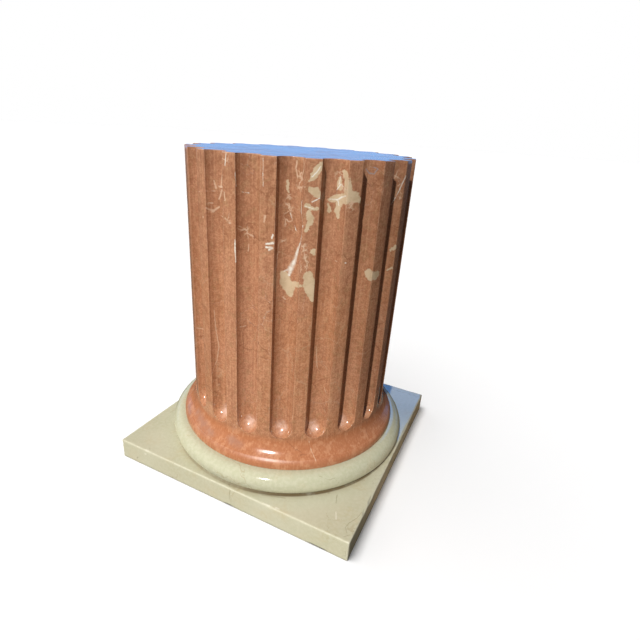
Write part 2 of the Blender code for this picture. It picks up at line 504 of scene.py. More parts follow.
def square_outline(half, corner):
    """Points round a square with rounded corners, each with its outward direction and its edge mask for
    wear and a painted highlight.
    """
    core = half - corner
    points = []
    for quarter in range(4):
        turn = Matrix.Rotation(quarter * pi / 2, 3, "Z")
        for i in range(CORNER_COLUMNS + 1):
            angle = pi / 2 * i / CORNER_COLUMNS
            out = Vector((cos(angle), sin(angle), 0))
            points.append((turn @ (Vector((core, core, 0)) + out * corner), turn @ out, 1.0))
        for i in range(1, PLINTH_COLUMNS):
            share = i / PLINTH_COLUMNS
            share = smooth_step(share, 0, 1) * (1 - EVEN_SPACING) + EVEN_SPACING * share
            place = Vector((core - 2 * core * share, half, 0))
            points.append((turn @ place, turn @ Vector((0, 1, 0)), 0.0))
    return points


def plinth_rings():
    """Underside, lower edge, side, upper edge and top, with small chips knocked out of the edges."""
    outline = square_outline(plinth_half, CORNER_RADIUS)
    low, high = plinth_low.z + PLINTH_ARRIS, plinth_high.z - PLINTH_ARRIS
    rows = [(1 - share, plinth_low.z, -1, 0.0) for share in UNDERSIDE_SHARES]
    rows.append((1 - (PLINTH_ARRIS + SUPPORT) / plinth_half, plinth_low.z, -1, 0.0))
    for angle in EDGE_ANGLES:
        inset = PLINTH_ARRIS * (1 - sin(angle)) / plinth_half
        rows.append((1 - inset, low - PLINTH_ARRIS * cos(angle), -1, 1.0))
    for i in range(PLINTH_SIDE_ROWS + 1):
        rows.append((1, low + SUPPORT + (high - low - 2 * SUPPORT) * i / PLINTH_SIDE_ROWS, 0, 0.0))
    for angle in EDGE_ANGLES:
        inset = PLINTH_ARRIS * (1 - cos(angle)) / plinth_half
        rows.append((1 - inset, high + PLINTH_ARRIS * sin(angle), 1, 1.0))
    for share in TOP_SHARES:
        rows.append((1 - PLINTH_ARRIS / plinth_half - share, plinth_high.z, 1, 0.0))
    rings = []
    for scale, height, face, edge in rows:
        ring = []
        for place, out, corner in outline:
            point = Vector((place.x * scale, place.y * scale, height))
            on_edge = max(edge, corner if face == 0 else 0)
            knocked = noise.noise(point * PLINTH_CHIP_SCALE)
            chip = smooth_step(knocked, *PLINTH_CHIP_RANGE) * on_edge * CHIP_DEPTH
            chip += on_edge * ARRIS_WEAR * (noise.noise(point * PLINTH_EDGE_SCALE) + 1)
            point -= (out + Vector((0, 0, face))) * chip
            ring.append((point, on_edge))
        rings.append(ring)
    return rings


# Shader groups shared by the two marbles

def object_point(tree, seed=None):
    """A point of the stone, moved off by a seed so that each use has its own pattern."""
    spot = add(tree, "ShaderNodeTexCoord").outputs["Object"]
    return vector_calc(tree, "ADD", spot, seed) if seed is not None else spot


def shifted(tree, spot, scale, amount, roughness=0.62):
    """A point moved by a small irregular amount, which makes a clean edge ragged."""
    grain = rough(tree, spot, scale, 5.0, roughness, output=1)
    shift = scaled(tree, vector_calc(tree, "SUBTRACT", grain, (0.5, 0.5, 0.5)), amount)
    return vector_calc(tree, "ADD", spot, shift)


def clouds_group():
    """Soft light and dark areas."""
    tree, given, result = new_group("Clouds in the stone", "ShaderNodeTree", (
        ("Scale", "NodeSocketFloat", 5.0), ("Detail", "NodeSocketFloat", 4.0),
        ("Start", "NodeSocketFloat", 0.35), ("End", "NodeSocketFloat", 0.65),
        ("Drift", "NodeSocketFloat", 0.0), ("Seed", "NodeSocketVector", (0, 0, 0)),
    ), (("Mask", "NodeSocketFloat"),))
    spot = object_point(tree, given.outputs["Seed"])
    texture = add(tree, "ShaderNodeTexNoise", {
        "Vector": spot, "Scale": given.outputs["Scale"], "Detail": given.outputs["Detail"],
        "Roughness": 0.6, "Distortion": given.outputs["Drift"]})
    mask = ramp(tree, texture.outputs[0], given.outputs["Start"], given.outputs["End"])
    tree.links.new(mask, result.inputs[0])
    return tree


def veins_group():
    """A broken network of thin veins, as sheets of filling that cross the block."""
    tree, given, result = new_group("Vein network", "ShaderNodeTree", (
        ("Scale", "NodeSocketFloat", 10.0), ("Width", "NodeSocketFloat", 0.02),
        ("Wander", "NodeSocketFloat", 0.03), ("Wander Scale", "NodeSocketFloat", 12.0),
        ("Broken", "NodeSocketFloat", 0.5), ("Patch Scale", "NodeSocketFloat", 6.0),
        ("Seed", "NodeSocketVector", (0, 0, 0)),
    ), (("Mask", "NodeSocketFloat"),))
    spot = object_point(tree, given.outputs["Seed"])
    warped = shifted(tree, spot, given.outputs["Wander Scale"], given.outputs["Wander"], 0.65)
    cells = add(tree, "ShaderNodeTexVoronoi", {"Vector": warped, "Scale": given.outputs["Scale"]},
                feature="DISTANCE_TO_EDGE")
    line = ramp(tree, cells.outputs["Distance"], 0, given.outputs["Width"], 1, 0)
    patch = rough(tree, spot, given.outputs["Patch Scale"], 3.0)
    end = calc(tree, "ADD", given.outputs["Broken"], 0.12)
    shown = ramp(tree, patch, given.outputs["Broken"], end)
    tree.links.new(times(tree, line, shown), result.inputs[0])
    return tree


def polish_group():
    """Surface of polished stone: roughness with dull smears, and a normal with fine grain and pits."""
    tree, given, result = new_group("Polished stone", "ShaderNodeTree", (
        ("Gloss", "NodeSocketFloat", 0.15), ("Dullness", "NodeSocketFloat", 0.2),
        ("Pits", "NodeSocketFloat", 0.3), ("Depth", "NodeSocketFloat", 0.0004),
        ("Edge", "NodeSocketFloat", 0.0), ("Seed", "NodeSocketVector", (0, 0, 0)),
    ), (("Roughness", "NodeSocketFloat"), ("Normal", "NodeSocketVector")))
    spot = object_point(tree, given.outputs["Seed"])
    smear = rough(tree, spot, 14.0, 5.0, 0.7)
    grain = rough(tree, spot, 420.0, 3.0)
    speck = add(tree, "ShaderNodeTexVoronoi", {"Vector": spot, "Scale": 160.0})
    pit = times(tree, ramp(tree, speck.outputs["Distance"], 0.05, 0.2, 1, 0),
                ramp(tree, smear, 0.5, 0.7))
    dull = times(tree, ramp(tree, smear, 0.4, 0.75), given.outputs["Dullness"])
    dulled = calc(tree, "ADD", calc(tree, "ADD", given.outputs["Gloss"], dull),
                  times(tree, given.outputs["Edge"], 0.3))
    height = calc(tree, "SUBTRACT", times(tree, grain, 0.12), times(tree, pit, given.outputs["Pits"]))
    bump = add(tree, "ShaderNodeBump",
               {"Height": height, "Distance": given.outputs["Depth"], "Strength": 1.0})
    tree.links.new(dulled, result.inputs[0])
    tree.links.new(bump.outputs[0], result.inputs[1])
    return tree


def stretch_group():
    """One straight stretch of a vein: how many half-widths off its middle line a place lies."""
    tree, given, result = new_group("Stretch of a vein", "ShaderNodeTree", (
        ("Place", "NodeSocketVector", (0, 0, 0)), ("Start", "NodeSocketVector", (0, 0, 0)),
        ("Along", "NodeSocketVector", (0, 0, 0)), ("Share Slope", "NodeSocketVector", (0, 0, 0)),
        ("Share Start", "NodeSocketFloat", 0.0), ("Start Width", "NodeSocketFloat", 0.002),
        ("Growth", "NodeSocketFloat", 0.0), ("Nearest", "NodeSocketFloat", 100.0),
    ), (("Nearest", "NodeSocketFloat"),))
    reach = calc(tree, "SUBTRACT",
                 vector_calc(tree, "DOT_PRODUCT", given.outputs["Place"], given.outputs["Share Slope"]),
                 given.outputs["Share Start"])
    share = add(tree, "ShaderNodeClamp", {0: reach}).outputs[0]
    middle = vector_calc(tree, "ADD", scaled(tree, given.outputs["Along"], share),
                         given.outputs["Start"])
    off = vector_calc(tree, "DISTANCE", given.outputs["Place"], middle)
    width = calc(tree, "MULTIPLY_ADD", share, given.outputs["Growth"], given.outputs["Start Width"])
    widths_off = calc(tree, "DIVIDE", off, width)
    tree.links.new(calc(tree, "MINIMUM", widths_off, given.outputs["Nearest"]), result.inputs[0])
    return tree


CLOUDS, VEINS, POLISH, STRETCH = clouds_group(), veins_group(), polish_group(), stretch_group()
MARBLE_IOR = 1.5


def use(tree, group, **inputs):
    """Places a shader group; a trailing name such as wander_scale stands for the socket Wander Scale."""
    node = add(tree, "ShaderNodeGroup", node_tree=group)
    for name, value in inputs.items():
        feed(tree, node.inputs[name.replace("_", " ").title()], value)
    return node


def pattern(tree, group, **inputs):
    """The mask that a shader group puts out."""
    return use(tree, group, **inputs).outputs[0]


def tint(tree, mask, under, over, amount=1.0):
    """Lays a colour over another where the mask says."""
    if amount != 1.0:
        mask = times(tree, mask, amount)
    return add(tree, "ShaderNodeMix", {0: mask, 6: under, 7: over}, data_type="RGBA").outputs[2]


def layers(tree, colour, *coats):
    """Lays one coat after another over a colour, each a mask and a colour, with an amount or without."""
    for mask, over, *amount in coats:
        colour = tint(tree, mask, colour, over, *amount)
    return colour


def polished(material, colour, **polish):
    """Joins a colour and the polish of a stone to its shader."""
    tree, shader = material.node_tree, material.node_tree.nodes["Principled BSDF"]
    surface = use(tree, POLISH, **polish)
    tree.links.new(colour, shader.inputs["Base Color"])
    tree.links.new(surface.outputs["Roughness"], shader.inputs["Roughness"])
    tree.links.new(surface.outputs["Normal"], shader.inputs["Normal"])
    shader.inputs["Metallic"].default_value = 0
    shader.inputs["IOR"].default_value = MARBLE_IOR


def new_material(name, colour):
    material = bpy.data.materials.new(name)
    material.use_nodes = True
    material.diffuse_color = (*colour, 1)
    return material


# Camera, where the photograph was taken from

PHOTO_SIZE = 640
SENSOR = 36
CAMERA_PLACE = Vector((0.4616, -0.8920, 0.7757))
CAMERA_HEADING = radians(25.05)
CAMERA_TILT = radians(66.70)
CAMERA_ROLL = radians(3.66)
CAMERA_LENS = 24.72
CAMERA_SHIFT = (0.0164, -0.0036)
camera_turn = (Matrix.Rotation(CAMERA_HEADING, 4, "Z") @ Matrix.Rotation(CAMERA_TILT, 4, "X")
               @ Matrix.Rotation(CAMERA_ROLL, 4, "Z"))


def camera():
    data = bpy.data.cameras.new("camera")
    data.sensor_width = SENSOR
    data.lens = CAMERA_LENS
    data.shift_x, data.shift_y = CAMERA_SHIFT
    obj = bpy.data.objects.new("camera", data)
    obj.matrix_world = Matrix.Translation(CAMERA_PLACE) @ camera_turn
    bpy.context.scene.collection.objects.link(obj)
    bpy.context.scene.camera = obj


def first_met(place, sight, pieces):
    """The nearest point of the pieces that a line of sight meets, and how far off it is."""
    found = []
    for piece in pieces:
        met, point, _, _ = piece.ray_cast(place, sight.normalized())
        if met:
            found.append(((point - place).length, point))
    if not found:
        raise ValueError(f"No piece lies along {tuple(sight)} from {tuple(place)}")
    return min(found)


def photo_chain(chain, pieces):
    """The points of the pieces that show at pixels of the photograph, with half-widths in metres."""
    points = []
    for u, v, half_width in chain:
        across = (u / PHOTO_SIZE - 0.5 + CAMERA_SHIFT[0]) * SENSOR / CAMERA_LENS
        up = (0.5 - v / PHOTO_SIZE + CAMERA_SHIFT[1]) * SENSOR / CAMERA_LENS
        distance, point = first_met(CAMERA_PLACE, camera_turn.to_3x3() @ Vector((across, up, -1)),
                                    pieces)
        points.append((point, half_width * distance * SENSOR / CAMERA_LENS / PHOTO_SIZE))
    return points


def side_chain(chain, piece):
    """Points of the shaft given by azimuth in degrees and height, with their half-widths."""
    points = []
    for azimuth, height, half_width in chain:
        outward = Vector((cos(radians(azimuth)), sin(radians(azimuth)), 0))
        _, point = first_met(outward + Vector((0, 0, height)), -outward, (piece,))
        points.append((point, half_width))
    return points


# Marks in the stone, as chains of (u, v, half-width) in pixels of the photograph

CREAM_PATCHES = (
    ((321, 165, 3.0), (317, 171, 4.0), (313, 178, 3.2), (309, 181, 1.2)),
    ((311, 190, 3.5), (316, 192, 5.0), (319, 196, 3.0)),
    ((307, 205, 2.6), (311, 209, 2.6), (317, 208, 1.8)),
    ((309, 214, 3.6), (311, 220, 4.0), (308, 226, 3.0), (306, 231, 2.0)),
    ((308.5, 276, 5.4), (309, 285, 7.0), (311, 293, 5.4), (313, 300, 2.4)),
    ((345, 172, 3.2), (347, 180, 3.8), (347, 196, 7.0), (354, 197, 6.0), (359, 200, 3.5)),
    ((330, 199, 2.4), (338, 199, 4.6), (347, 198, 6.5)),
    ((339, 203, 4.2), (337, 211, 3.4), (338, 217, 1.8)),
    ((328, 204, 1.5), (329, 211, 2.4)),
    ((340, 178, 1.6), (340, 187, 3.4)),
    ((287, 181, 1.6), (288, 188, 2.2), (288, 193, 1.0)),
    ((283, 274, 4.4), (286, 282, 7.2), (290, 288, 6.0), (290, 294, 3.4)),
    ((294, 284, 3.6), (301, 286, 2.0)),
    ((313, 252, 3.4), (314, 254, 2.2)),
    ((369, 273, 5.2), (370, 278, 4.2), (376, 275, 5.0)),
    ((391, 250, 1.8), (396, 247, 2.4)),
    ((387, 270, 0.8), (392, 268, 1.6)),
)
WHITE_VEINS = (
    ((302, 200, 0.5), (301, 212, 0.7), (303, 226, 0.6), (301, 240, 1.3), (298, 249, 2.3), (295, 260, 3.0),
     (291, 268, 4.2), (289, 275, 2.0)),
    ((291, 269, 3.0), (284, 271, 1.2)),
    ((290, 213, 0.5), (296, 230, 0.7), (301, 240, 0.9)),
    ((321, 166, 0.6), (317, 172, 1.2), (312, 177, 0.8)),
    ((312, 202, 1.2), (320, 198, 0.7)),
    ((305, 206, 0.5), (313, 209, 0.8), (320, 205, 0.5)),
    ((330, 199, 0.8), (337, 200, 1.3), (342, 197, 1.5), (346, 196, 0.8)),
    ((337, 190, 0.7), (341, 184, 0.9), (346, 190, 0.5)),
    ((341, 176, 0.6), (340, 180, 0.9), (339, 184, 0.7)),
    ((338, 201, 0.9), (339, 206, 0.5)),
    ((235, 240, 0.9), (235, 250, 1.2), (236, 262, 0.8)),
    ((235, 172, 0.5), (236, 186, 0.8)),
    ((273, 235, 1.4), (272, 238, 1.2)),
    ((266, 244, 1.4), (273, 243, 2.0)),
    ((266, 247, 1.4), (272, 248, 2.0), (269, 250, 1.4)),
    ((226, 153, 0.7), (225, 165, 0.8)),
    ((263, 158, 0.4), (263, 186, 0.4)),
    ((242, 192, 0.3), (249, 193, 0.6)),
    ((406, 176, 1.0), (402, 184, 0.9), (398, 193, 0.7), (391, 205, 0.5)),
    ((345, 263, 0.9), (346, 263, 0.9)),
)
PALE_VEINS = (
    ((297, 161, 1.0), (296, 168, 1.1), (298, 178, 0.9)),
    ((304, 161, 1.0), (304, 169, 1.2), (302, 178, 1.1), (305, 187, 1.0)),
    ((303, 245, 0.7), (305, 257, 0.7), (308, 268, 0.6)),
    ((301, 245, 0.8), (301, 270, 0.8), (299, 284, 1.0)),
    ((326, 258, 0.6), (336, 261, 0.7), (345, 263, 0.6)),
    ((222, 175, 0.8), (221, 187, 0.9)),
    ((222, 190, 1.6), (219, 199, 1.0)),
    ((214, 181, 1.0), (216, 188, 1.5)),
    ((224, 192, 1.0), (225, 200, 1.2), (219, 207, 1.4), (213, 211, 1.9), (206, 208, 1.2)),
    ((203, 217, 1.4), (213, 211, 1.2), (223, 217, 0.9), (230, 223, 2.0)),
    ((208, 203, 0.9), (213, 203, 0.8)),
    ((192, 192, 0.4), (199, 191.6, 0.5), (206, 191.2, 0.5), (213, 191, 0.6), (221, 191.4, 0.7),
     (234, 192, 0.7)),
    ((265, 216, 1.8), (264, 222, 1.0)),
    ((239, 226, 0.7), (245, 229, 0.8), (253, 236, 0.8)),
    ((249, 244, 0.6), (248, 251, 0.9)),
    ((214, 310, 0.5), (216, 330, 0.7), (219, 347, 0.7), (217, 360, 0.7), (212, 374, 0.5)),
    ((240, 327, 0.9), (246, 326, 0.8)),
    ((197, 328, 1.0), (203, 329, 0.8)),
    ((316, 346, 0.5), (317, 366, 0.6), (325, 390, 0.6), (331, 404, 0.5)),
    ((283, 297, 1.4), (285, 299, 1.2)),
    ((309, 441, 0.7), (311, 450, 0.7), (316, 461, 0.6)),
)
STAINS = (
    ((198, 412, 7), (203, 424, 10), (212, 434, 6)),
    ((231, 440, 8), (240, 446, 7)),
    ((189, 405, 4), (190, 414, 4)),
)
# Where a fine pale web shows
WEB_ZONES = (
    ((300, 160, 8), (301, 186, 7)),
    ((289, 198, 6), (288, 224, 6)),
    ((226, 158, 6), (220, 190, 7)),
    ((206, 208, 6), (226, 216, 8)),
    ((240, 225, 6), (250, 235, 6)),
    ((283, 240, 5), (277, 262, 5)),
    ((303, 242, 5), (307, 268, 4)),
    ((396, 170, 5), (400, 198, 3)),
    ((340, 176, 7), (352, 206, 7)),
)
GREY_SWIRL = (
    ((366, 169, 0.8), (369, 173, 1.0), (374, 174, 1.0), (378, 169, 0.8), (374, 167, 0.6)),
)
CREAM_CRACKS = (
    ((229, 484, 0.7), (230, 490, 0.8), (229, 499, 0.5)),
    ((229, 486, 0.5), (235, 488, 0.5)),
    ((137, 458, 1.0), (138, 457, 0.8)),
    ((150, 448, 0.5), (150, 453, 0.6)),
    ((345, 528, 0.5), (349, 523, 0.6), (357, 518, 0.5), (362, 512, 0.3)),
    ((345, 527, 0.4), (347, 533, 0.5)),
    ((337, 495, 0.8), (336, 503, 0.6)),
    ((343, 537, 0.4), (350, 535, 0.5)),
    ((345, 551, 0.5), (346, 556, 0.6), (342, 556, 0.4)),
    ((301, 472, 0.3), (302, 486, 0.4)),
    ((319, 476, 0.4), (330, 480, 0.5), (334, 478, 0.4), (339, 483, 0.4)),
    ((367, 464, 0.4), (371, 468, 0.5)),
    ((329, 493, 0.9), (328, 493, 0.7)),
    ((356, 481, 0.4), (364, 480, 0.5)),
    ((262, 495, 0.7), (285, 498, 0.8)),
)
CREAM_CHIPS = (
    ((146, 450, 1.2), (148, 451, 0.9)),
    ((145, 454, 1.0), (146, 454, 0.9)),
    ((263, 503, 0.5), (269, 506, 1.3)),
    ((276, 508, 1.5), (279, 509, 0.8)),
    ((336, 512, 0.7), (336, 519, 0.9)),
)
# Marks on the hidden sides, as chains of (azimuth in degrees, height, half-width)
HIDDEN_PATCHES = (
    ((38, 0.605, 0.010), (42, 0.575, 0.015), (46, 0.540, 0.008)),
    ((73, 0.335, 0.007), (77, 0.310, 0.010)),
    ((110, 0.660, 0.007), (114, 0.630, 0.013), (119, 0.605, 0.006)),
    ((150, 0.420, 0.009), (154, 0.385, 0.014), (153, 0.350, 0.006)),
    ((-151, 0.555, 0.008), (-147, 0.515, 0.013), (-143, 0.490, 0.006)),
)
HIDDEN_VEINS = (
    ((36, 0.705, 0.001), (42, 0.620, 0.003), (45, 0.520, 0.002), (52, 0.440, 0.001)),
    ((107, 0.710, 0.001), (114, 0.640, 0.004), (120, 0.550, 0.002), (122, 0.470, 0.001)),
    ((149, 0.505, 0.001), (154, 0.400, 0.003), (160, 0.330, 0.001)),
    ((-151, 0.625, 0.001), (-147, 0.530, 0.003), (-141, 0.450, 0.001)),
)


def marks(tree, place, chains, soft=0.5):
    """A mask of all the stretches of some chains, soft over a share of their half-width."""
    nearest = 100.0
    for chain in chains:
        for (start, start_width), (end, end_width) in zip(chain, chain[1:]):
            along = end - start
            slope = along / along.length_squared
            nearest = pattern(tree, STRETCH, place=place, start=start, along=along, share_slope=slope,
                              share_start=start.dot(slope), start_width=start_width,
                              growth=end_width - start_width, nearest=nearest)
    return ramp(tree, nearest, 1.0 - soft, 1.0, 1, 0)


# Red marble: brick red ground with a fine grain, cream patches, white veins, bruised arrises with a
# painted highlight, and a painted sheen in the flute ends

RED = (0.48, 0.212, 0.102)
RED_PALE = (0.70, 0.375, 0.21)
RED_DARK = (0.22, 0.082, 0.040)
RED_PINK = (0.54, 0.265, 0.16)
RED_BROWN = (0.29, 0.13, 0.07)
RED_OLIVE = (0.34, 0.215, 0.10)
RED_DEEP = (0.43, 0.155, 0.065)
STAIN = (0.36, 0.185, 0.125)
CREAM_FILL = (0.66, 0.51, 0.33)
CREAM_DEEP = (0.47, 0.335, 0.19)
WHITE_FILL = (0.82, 0.77, 0.66)
PALE_FILL = (0.68, 0.46, 0.31)
GREY_FILL = (0.34, 0.27, 0.25)
# paler arrises: bruised wear and a painted edge highlight
BRUISE_AND_GLINT = (0.64, 0.43, 0.30)
# a whitish painted sheen for the round ends of the flutes
PAINTED_SHEEN = (0.66, 0.44, 0.34)
SHEEN_RADIUS = 0.017
BROWN_FROM, BROWN_FULL = 0.42, 0.72                     # heights over which the shaft turns darker and browner towards the top
FOOT_FROM, FOOT_FULL = flute_foot + 0.01, flute_foot - 0.015
STREAK_SCALES = (230, 230, 7)
WIDE_SHIFT, FINE_SHIFT = (110.0, 0.012), (200.0, 0.0035)    # scale and amount
NOSE_TOP = nose_bottom + NOSE_RADIUS * sin(FLARE_SLOPE)


def paint_red_marble(material, piece):
    tree = material.node_tree
    spot = object_point(tree)
    x, y, height = parts(tree, spot)

    grain = pattern(tree, CLOUDS, scale=300.0, detail=2.0, start=0.42, end=0.58, seed=(6, 1, 9))
    speckle = pattern(tree, CLOUDS, scale=120.0, detail=4.0, start=0.44, end=0.58, seed=(3, 1, 2))
    mottle = pattern(tree, CLOUDS, scale=42.0, detail=6.0, start=0.44, end=0.62, drift=0.6,
                     seed=(7, 4, 9))
    greenish = pattern(tree, CLOUDS, scale=75.0, detail=5.0, start=0.5, end=0.66, drift=0.4,
                       seed=(1, 5, 6))
    broad = pattern(tree, CLOUDS, scale=5.5, detail=3.0, start=0.35, end=0.7, seed=(1, 8, 5))
    upper = times(tree, ramp(tree, height, BROWN_FROM, BROWN_FULL), ramp(tree, broad, 0, 1, 0.5, 0.25))
    spots = pattern(tree, CLOUDS, scale=52.0, detail=3.0, start=0.52, end=0.62, seed=(6, 6, 2))
    on_foot = ramp(tree, height, FOOT_FROM, FOOT_FULL)
    spotted = times(tree, spots, calc(tree, "MULTIPLY_ADD", on_foot, 0.2, 0.08))
    colour = layers(tree, RED, (broad, RED_PINK, 0.55), (upper, RED_BROWN, 1.2), (mottle, RED_DARK, 0.18),
                    (greenish, RED_OLIVE, 0.35), (speckle, RED_PALE, 0.26), (grain, RED_DARK, 0.34),
                    (on_foot, RED_DEEP, 0.8), (spotted, RED_PALE))

    # Lighter and darker streaks that run up the shaft
    streak = rough(tree, vector_calc(tree, "MULTIPLY", spot, STREAK_SCALES), 1.0, 4.0)
    colour = layers(tree, colour, (ramp(tree, streak, 0.5, 0.68), RED_PALE, 0.2),
                    (ramp(tree, streak, 0.5, 0.32), RED_DARK, 0.15))

    # Fine veins run through the whole block, and show less on the side that the photograph shows
    azimuth = calc(tree, "ARCTAN2", y, x)
    off_front = calc(tree, "ABSOLUTE", calc(tree, "SUBTRACT", azimuth, FRONT_MIDDLE))
    hidden = ramp(tree, off_front, FRONT_REACH, FRONT_REACH + 0.3, 0.3, 1.0)
    dark_seams = pattern(tree, VEINS, scale=13.0, width=0.02, wander=0.05, wander_scale=20.0,
                         broken=0.5, patch_scale=9.0, seed=(2, 6, 1))
    web = pattern(tree, VEINS, scale=9.0, width=0.016, wander=0.06, wander_scale=14.0, broken=0.52,
                  patch_scale=5.0, seed=(5, 2, 8))
    hairs = pattern(tree, VEINS, scale=21.0, width=0.012, wander=0.03, wander_scale=25.0, broken=0.54,
                    patch_scale=7.0, seed=(9, 3, 4))
    colour = layers(tree, colour, (dark_seams, RED_DARK, 0.6), (times(tree, web, hidden), CREAM_FILL, 0.6),
                    (times(tree, hairs, hidden), WHITE_FILL, 0.5))

    # Patches and veins that were traced in the photograph, and their like on the hidden sides
    wide = shifted(tree, spot, *WIDE_SHIFT)
    fine = shifted(tree, spot, *FINE_SHIFT)

    def traced(chains):
        return [photo_chain(chain, (piece,)) for chain in chains]

    def guessed(chains):
        return [side_chain(chain, piece) for chain in chains]

    patches = marks(tree, wide, traced(CREAM_PATCHES) + guessed(HIDDEN_PATCHES), 0.25)
    cloudy = pattern(tree, CLOUDS, scale=70.0, detail=4.0, start=0.4, end=0.7, seed=(8, 8, 3))
    filling = tint(tree, cloudy, CREAM_FILL, CREAM_DEEP, 0.5)
    stained = times(tree, marks(tree, wide, traced(STAINS), 1.0), ramp(tree, mottle, 0, 1, 0.7, 0.35))
    webs = pattern(tree, VEINS, scale=60.0, width=0.09, wander=0.014, wander_scale=80.0, broken=0.36,
                   patch_scale=60.0, seed=(3, 7, 5))
    webbed = times(tree, webs, marks(tree, wide, traced(WEB_ZONES), 0.9))
    pale = marks(tree, fine, traced(PALE_VEINS), 0.9)
    white = marks(tree, fine, traced(WHITE_VEINS) + guessed(HIDDEN_VEINS), 0.9)
    milky = times(tree, white, ramp(tree, speckle, 0, 1, 1.0, 0.65))
    swirl = marks(tree, fine, traced(GREY_SWIRL), 0.8)
    colour = layers(tree, colour, (patches, filling, 0.92), (stained, STAIN), (webbed, PALE_FILL),
                    (pale, PALE_FILL, 0.8), (milky, WHITE_FILL), (swirl, GREY_FILL, 0.9))

    # Whitish painted sheen in the round ends of the flutes, where the polish is also duller
    past = calc(tree, "SUBTRACT", azimuth, FLUTE_TURN - flute_pitch / 2)
    within = calc(tree, "SUBTRACT", calc(tree, "FLOORED_MODULO", past, flute_pitch), flute_pitch / 2)
    across = times(tree, within, shaft_radius)
    rise = calc(tree, "SUBTRACT", height, flute_foot + SHEEN_RADIUS)
    off = length(tree, across, rise)
    blotches = pattern(tree, CLOUDS, scale=85.0, detail=5.0, start=0.35, end=0.65, seed=(5, 9, 2))
    sheen_and_dullness = times(tree, ramp(tree, off, 0.35 * SHEEN_RADIUS, 1.15 * SHEEN_RADIUS, 1, 0),
                 calc(tree, "ADD", times(tree, blotches, 0.6), 0.25))

    # Arrises painted paler, partly as bruised wear and partly as a painted highlight along the edge, and a
    # nose of the foot that is rubbed dull
    edge = add(tree, "ShaderNodeAttribute", attribute_name="edge_wear_and_glint").outputs["Fac"]
    bruises = pattern(tree, CLOUDS, scale=60.0, detail=5.0, start=0.42, end=0.62, seed=(4, 4, 4))
    stretches = pattern(tree, CLOUDS, scale=9.0, detail=3.0, start=0.42, end=0.62, seed=(2, 7, 7))
    strength = calc(tree, "ADD", times(tree, bruises, 0.5), 0.12)
    wear_and_glint = times(tree, edge, times(tree, strength, ramp(tree, stretches, 0, 1, 0.35, 1.2)))
    colour = layers(tree, colour, (sheen_and_dullness, PAINTED_SHEEN), (wear_and_glint, BRUISE_AND_GLINT))
    rubbed = times(tree, ramp(tree, height, NOSE_TOP - 0.001, NOSE_TOP + 0.002, 1.0, 0.2),
                   ramp(tree, height, flare_top - 0.01, flare_top, 1, 0))
    dulled = calc(tree, "MAXIMUM", calc(tree, "MAXIMUM", wear_and_glint, sheen_and_dullness), rubbed)
    polished(material, colour, gloss=0.07, dullness=0.10, pits=0.5, depth=0.0002, edge=dulled,
             seed=(1, 1, 1))


# Cream marble: pale ground with a greenish cast, thin brown veins, and painted shade by the joint

CREAM = (0.53, 0.50, 0.345)
CREAM_LIGHT = (0.61, 0.585, 0.44)
CREAM_GREEN = (0.48, 0.475, 0.32)
CREAM_WARM = (0.55, 0.455, 0.27)
CREAM_WHITE = (0.72, 0.68, 0.55)
BROWN_VEIN = (0.33, 0.24, 0.12)
CRACK = (0.20, 0.155, 0.08)
# the colour of the painted shade at the joint
JOINT_SHADE = (0.10, 0.07, 0.035)
CREAM_SHIFT = (170.0, 0.003)            # scale and amount
# Radii, and heights off the joint, over which the painted shade at the joint and the fainter painted shade
# round it fade out
JOINT_SHADE_REACH, JOINT_SHADE_RISE = (torus_ring + 0.0165, torus_ring + 0.0205), (0.0045, 0.0085)
SHADE_ROUND_REACH, SHADE_ROUND_RISE = (torus_ring + 0.012, torus_ring + 0.034), (0.001, 0.003)
JOINT_SHADE_SIDE = (-0.05, 0.15)               # the painted shade thickens between these, along X, towards the shaded right side
